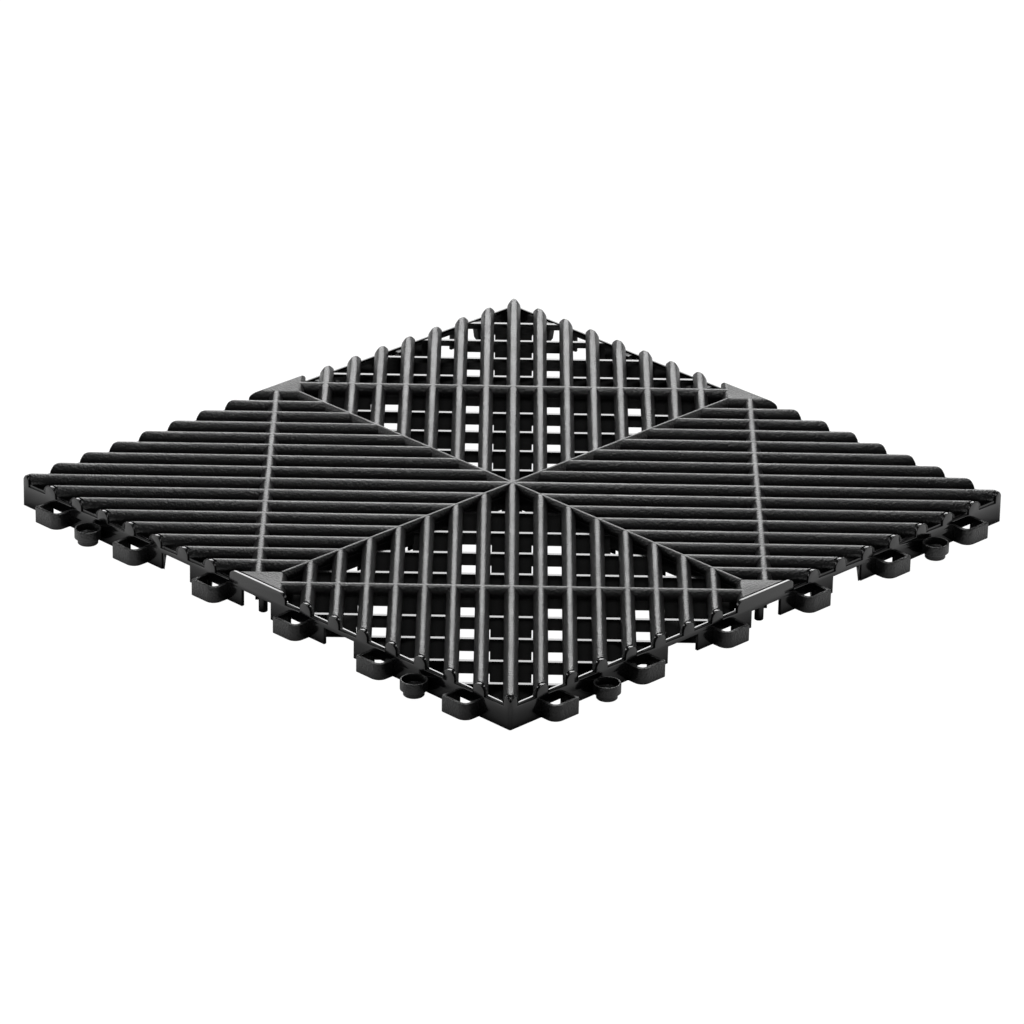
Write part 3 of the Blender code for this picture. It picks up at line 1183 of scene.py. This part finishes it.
@dataclass
class LockingPegs(TileFeature):
    """The pointed pegs inside the far sides, with the shelf that carries each.

    Attributes:
        faces: Distance of a peg's outer and inner face from the side's plane.
        levels: (half length, inset of the faces, height) from the tip to the shelf's top.
        shelf: Height of the shelf's underside and top.
        shelf_faces: Distance of its outer and inner edge from the side's plane.
        shelf_gap: How far its faces lie inside those of the peg.
        shelf_edge: Radius of its upper edges.
    """

    faces: Point2 = (2.0, 6.0)
    levels: tuple[Point3, ...] = (
        (2.4, 1.2, 0.6), (2.9, 0.7, 1.0), (4.3, 0.0, 3.2), (5.7, 0.0, 10.7), (5.7, 0.0, 13.3),
    )
    shelf: Point2 = (10.7, 13.3)
    shelf_faces: Point2 = (1.0, 5.9)
    shelf_gap: float = 0.02
    shelf_edge: float = 0.2

    def peg(self, draft: SolidDraft, side: Side, t: float) -> None:
        """Draws one peg with its shelf.

        Args:
            draft: The draft to add it to.
            side: The side that carries it.
            t: Distance of the peg from the start corner of the side.
        """
        place = self.placing(side)
        rings = []
        for half, inset, z in self.levels:
            outside, inside = -self.faces[0] - inset, -self.faces[1] + inset
            plan = [(-half, inside), (half, inside), (half, outside), (-half, outside)]
            rings.append([place(t + x, d, z) for x, d in plan])
        draft.loft(rings)
        gap, half = self.shelf_gap, self.levels[-1][0] - self.shelf_gap
        outside, inside = -self.shelf_faces[0], -self.shelf_faces[1]
        plan = [(t - half, inside), (t + half, inside), (t + half, outside), (t - half, outside)]
        draft.slab(plan, self.shelf[0] + gap, self.shelf[1] - gap, place, self.shelf_edge)

    def draft(self) -> SolidDraft:
        """Draws all pegs.

        Returns:
            The draft.
        """
        draft = SolidDraft("locking_pegs")
        for side in (Side.LEFT, Side.BACK):
            for t in self.sizes.stations(side, LOOP_PLACES):
                self.peg(draft, side, t)
        return draft


@dataclass
class Feet(TileFeature):
    """The round feet under the plates and under the middle of the tile.

    Attributes:
        diameter: Diameter of the feet under the plates.
        inside: Distance of their axis from the side's plane.
        top: Height of their top, inside the plate.
        centre_diameter: Diameter of the middle foot.
        centre_top: Height of its top, inside the dividers.
        edge: Chamfer of the lower edges.
        chords: Number of flat faces round a foot under a plate.
        centre_chords: Number of flat faces round the middle foot.
    """

    finish: BlackPolypropylene = SMOOTH
    diameter: float = 5.1
    inside: float = 5.0
    top: float = 16.0
    centre_diameter: float = 12.0
    centre_top: float = 12.7
    edge: float = 0.3
    chords: int = 24
    centre_chords: int = 32

    def profile(self, diameter: float, top: float) -> list[Point2]:
        """Gives the half section of a foot.

        Args:
            diameter: Diameter of the foot.
            top: Height of its top.

        Returns:
            (radius, height) points from the floor to the top.
        """
        radius = diameter / 2
        return [(radius - self.edge, 0.0), (radius, self.edge), (radius, top)]

    def draft(self) -> SolidDraft:
        """Draws the five feet.

        Returns:
            The draft.
        """
        draft = SolidDraft("feet")
        foot, axis = self.profile(self.diameter, self.top), (self.sizes.half, -self.inside)
        for side in Side:
            draft.turned(foot, axis, self.chords, self.placing(side))
        foot = self.profile(self.centre_diameter, self.centre_top)
        draft.turned(foot, (0.0, 0.0), self.centre_chords, lambda x, y, z: (x, y, z))
        return draft


@dataclass
class Passages:
    """Room under the far sides for the loops and sockets of the next tile.

    Attributes:
        sizes: Sizes that the features share.
        loop_size: Width and depth of the room for a loop.
        cup_size: Width and depth of the room for a socket.
        margin: How far the cutting bodies reach out of the tile.
    """

    sizes: TileSizes = field(default_factory=TileSizes)
    loop_size: Point2 = (22.0, 13.8)
    cup_size: Point2 = (19.2, 17.6)
    margin: float = 1.0

    def cut(self, piece: bpy.types.Object) -> None:
        """Cuts the rooms out of a piece.

        Args:
            piece: The piece that is cut.
        """
        draft = SolidDraft("passage_cutter")
        for side in (Side.LEFT, Side.BACK):
            place = on_side(side, self.sizes.half)
            rooms = [(t, self.loop_size) for t in self.sizes.stations(side, LOOP_PLACES)]
            rooms += [(t, self.cup_size) for t in self.sizes.stations(side, CUP_PLACES)]
            for t, (width, depth) in rooms:
                left, right = t - width / 2, t + width / 2
                out = self.margin
                plan = [(left, -depth), (right, -depth), (right, out), (left, out)]
                ends = (-out, self.sizes.opening_height)
                draft.loft([[place(x, y, z) for x, y in plan] for z in ends])
        cutter = draft.finished()
        room = piece.modifiers.new("passages", "BOOLEAN")
        room.operation, room.solver, room.object = "DIFFERENCE", "EXACT", cutter
        graph = bpy.context.evaluated_depsgraph_get()
        cut = bpy.data.meshes.new_from_object(piece.evaluated_get(graph))
        piece.modifiers.clear()
        piece.data = cut
        bpy.data.objects.remove(cutter)


@dataclass(frozen=True)
class SoftPanel:
    """A soft rectangular lamp that faces the tile.

    Attributes:
        name: Name of the lamp.
        place: Its middle in metres.
        size: Width and height in metres.
        power: Power in watts.
    """

    name: str
    place: Point3
    size: Point2
    power: float

    def hang(self) -> None:
        """Makes the lamp, which the camera doesn't see."""
        lamp = bpy.data.lights.new(self.name, "AREA")
        lamp.shape = "RECTANGLE"
        lamp.size, lamp.size_y = self.size
        lamp.energy = self.power
        thing = bpy.data.objects.new(self.name, lamp)
        thing.location = self.place
        thing.rotation_euler = (-Vector(self.place)).to_track_quat("-Z", "Y").to_euler()
        thing.visible_camera = False
        bpy.context.scene.collection.objects.link(thing)
        log.info("lamp %s: %.1f W", self.name, self.power)


@dataclass
class Studio:
    """A white floor and a soft studio round the tile.

    Attributes:
        floor_size: Side of the floor in metres.
        floor_drop: Depth of the floor under the tile in metres.
        white: Strength at which the camera sees the floor and the surroundings.
        paper: Brightness of the floor's paper for light, and for the camera.
        painted_reflection_strength: Strength of the floor's glow in reflections, in front of
            the tile and by its left and right corners: painted shade, dimmer in front.
        painted_shade_reach: Distance from the plane of the camera at which the second is reached.
        painted_shadow_edge: Distances from the tile's middle, along X or Y, over which the mirrored
            floor brightens out of a painted shadow of the tile under and close to it.
        fill: Brightness of the surroundings.
        panels: The lamps.
    """

    floor_size: float = 24.0
    floor_drop: float = 0.00002
    white: float = 1.0
    paper: Point2 = (0.35, 0.08)
    painted_reflection_strength: Point2 = (0.45, 1.2)
    painted_shade_reach: float = 0.4
    painted_shadow_edge: Point2 = (0.201, 0.228)
    fill: float = 0.08
    panels: tuple[SoftPanel, ...] = (
        SoftPanel("back_panel", (-1.04, 1.04, 0.73), (0.9, 1.07), 16.5),
        SoftPanel("overhead_panel", (-0.02, 0.02, 1.50), (0.6, 0.6), 9.5),
        SoftPanel("left_panel", (-0.98, -0.86, 0.42), (1.0, 0.7), 5.6),
        SoftPanel("right_panel", (0.86, 0.98, 0.42), (1.0, 0.7), 3.6),
    )

    def floor_material(self) -> bpy.types.Material:
        """Builds the white paper, which the camera and reflections away from the tile see as white.
        What the plastic mirrors has a painted shadow under and close to the tile, and painted
        shade in front of it.

        Returns:
            The material.
        """
        material = bpy.data.materials.new("white_paper_floor")
        material.use_nodes = True
        tree = material.node_tree
        tree.nodes.clear()
        rays = add_node(tree, "ShaderNodeLightPath")
        # Painted shadow: under and close to the tile the floor's glow is kept out of reflections.
        place = add_node(tree, "ShaderNodeTexCoord")
        spread = add_node(tree, "ShaderNodeSeparateXYZ", {"Vector": place.outputs["Object"]})
        across = add_node(tree, "ShaderNodeMath", {0: spread.outputs["X"]}, operation="ABSOLUTE")
        along = add_node(tree, "ShaderNodeMath", {0: spread.outputs["Y"]}, operation="ABSOLUTE")
        furthest = add_node(tree, "ShaderNodeMath", {
            0: across.outputs["Value"], 1: along.outputs["Value"]}, operation="MAXIMUM")
        outside_painted_shadow = add_node(tree, "ShaderNodeMapRange", {
            "Value": furthest.outputs["Value"],
            "From Min": self.painted_shadow_edge[0], "From Max": self.painted_shadow_edge[1]})
        seen = add_node(tree, "ShaderNodeMath", {
            0: rays.outputs["Is Glossy Ray"], 1: rays.outputs["Is Transmission Ray"]},
            operation="MAXIMUM")
        reflection_past_painted_shadow = add_node(tree, "ShaderNodeMath", {
            0: seen.outputs["Value"], 1: outside_painted_shadow.outputs["Result"]}, operation="MULTIPLY")
        # Painted shade: the glow that the plastic mirrors is dimmer in front of the tile.
        sideways = add_node(tree, "ShaderNodeMath", {
            0: spread.outputs["X"], 1: spread.outputs["Y"]}, operation="ADD")
        away = add_node(tree, "ShaderNodeMath", {0: sideways.outputs["Value"]},
                        operation="ABSOLUTE")
        painted_front_shade = add_node(tree, "ShaderNodeMapRange", {
            "Value": away.outputs["Value"], "From Max": self.painted_shade_reach,
            "To Min": self.painted_reflection_strength[0], "To Max": self.painted_reflection_strength[1]})
        painted_reflection = add_node(tree, "ShaderNodeMath", {
            0: reflection_past_painted_shadow.outputs["Value"], 1: painted_front_shade.outputs["Result"]}, operation="MULTIPLY")
        glow = add_node(tree, "ShaderNodeMath", {
            0: rays.outputs["Is Camera Ray"], 1: self.white,
            2: painted_reflection.outputs["Value"]}, operation="MULTIPLY_ADD")
        shade = add_node(tree, "ShaderNodeMapRange", {
            "Value": rays.outputs["Is Camera Ray"],
            "To Min": self.paper[0], "To Max": self.paper[1]})
        paper = add_node(tree, "ShaderNodeBsdfDiffuse", {"Color": shade.outputs["Result"]})
        light = add_node(tree, "ShaderNodeEmission", {"Strength": glow.outputs["Value"]})
        both = add_node(tree, "ShaderNodeAddShader", {
            0: paper.outputs["BSDF"], 1: light.outputs["Emission"]})
        add_node(tree, "ShaderNodeOutputMaterial", {"Surface": both.outputs["Shader"]})
        return material

    def floor(self) -> None:
        """Lays the floor just under the tile."""
        reach = self.floor_size / 2
        data = bpy.data.meshes.new("studio_floor")
        corners = [(-reach, -reach), (reach, -reach), (reach, reach), (-reach, reach)]
        data.from_pydata([(x, y, -self.floor_drop) for x, y in corners], [], [(0, 1, 2, 3)])
        data.materials.append(self.floor_material())
        floor = bpy.data.objects.new("studio_floor", data)
        bpy.context.scene.collection.objects.link(floor)
        floor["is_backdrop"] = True

    def world(self) -> None:
        """Even grey surroundings, which the camera sees as white."""
        world = bpy.data.worlds.new("studio")
        bpy.context.scene.world = world
        world.use_nodes = True
        tree = world.node_tree
        tree.nodes.clear()
        rays = add_node(tree, "ShaderNodeLightPath")
        strength = add_node(tree, "ShaderNodeMapRange", {
            "Value": rays.outputs["Is Camera Ray"], "To Min": self.fill, "To Max": self.white})
        light = add_node(tree, "ShaderNodeBackground", {
            "Color": linear("#ffffff"), "Strength": strength.outputs["Result"]})
        add_node(tree, "ShaderNodeOutputWorld", {"Surface": light.outputs["Background"]})

    def build(self) -> None:
        """Makes the floor, the surroundings and the lamps."""
        self.floor()
        self.world()
        for panel in self.panels:
            panel.hang()
        bpy.context.scene.view_settings.view_transform = "Standard"


@dataclass
class PhotoCamera:
    """The camera of the photograph, fitted to points of the tile.

    Attributes:
        azimuth: Direction of the camera round the tile, in degrees.
        elevation: Its height above the horizon, in degrees.
        roll: Turn about its own axis, in degrees.
        distance: Distance from the tile's middle, in millimetres.
        aim: Shift of the camera to its right and up, in millimetres.
        focal_pixels: Focal length in pixels of the photograph.
        sensor: Width of the sensor in millimetres.
        clip_end: Furthest distance that it sees, in metres.
    """

    azimuth: float = 44.7676
    elevation: float = 24.3189
    roll: float = 1.0579
    distance: float = 3372.37
    aim: Point2 = (0.0361, 0.4532)
    focal_pixels: float = 5835.63
    sensor: float = 36.0
    clip_end: float = 100.0

    def build(self) -> None:
        """Makes the camera."""
        a, e, turn = (math.radians(x) for x in (self.azimuth, self.elevation, self.roll))
        back = Vector((math.sin(a) * math.cos(e), -math.cos(a) * math.cos(e), math.sin(e)))
        right = (-back).cross(Vector((0.0, 0.0, 1.0))).normalized()
        up = right.cross(-back)
        across = right * math.cos(turn) + up * math.sin(turn)
        upright = up * math.cos(turn) - right * math.sin(turn)
        middle = back * self.distance + right * self.aim[0] + up * self.aim[1]
        data = bpy.data.cameras.new("photo_camera")
        data.sensor_width = self.sensor
        data.lens = self.focal_pixels * self.sensor / IMAGE_WIDTH
        data.clip_end = self.clip_end
        camera = bpy.data.objects.new("photo_camera", data)
        turned = Matrix((across, upright, back)).transposed().to_4x4()
        camera.matrix_world = Matrix.Translation(middle * MM) @ turned
        bpy.context.scene.collection.objects.link(camera)
        bpy.context.scene.camera = camera


def main() -> None:
    """Builds the tile, the studio and the camera in order."""
    logging.basicConfig(level=logging.INFO, format="%(name)s %(message)s")
    cad_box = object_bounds()
    ArchedRibs().build()
    CrossRibs().build()
    lattice = LatticeWalls().build()
    Passages().cut(lattice)
    Dividers().build()
    OuterWall().build()
    SidePlates().build()
    LockingLoops().build()
    RoundSockets().build()
    LockingPegs().build()
    Feet().build()
    Studio().build()
    PhotoCamera().build()
    boxes = {"cad": cad_box, "visual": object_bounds()}
    {name: [list(c) for c in box] for name, box in boxes.items()}


if __name__ == "__main__":
    main()
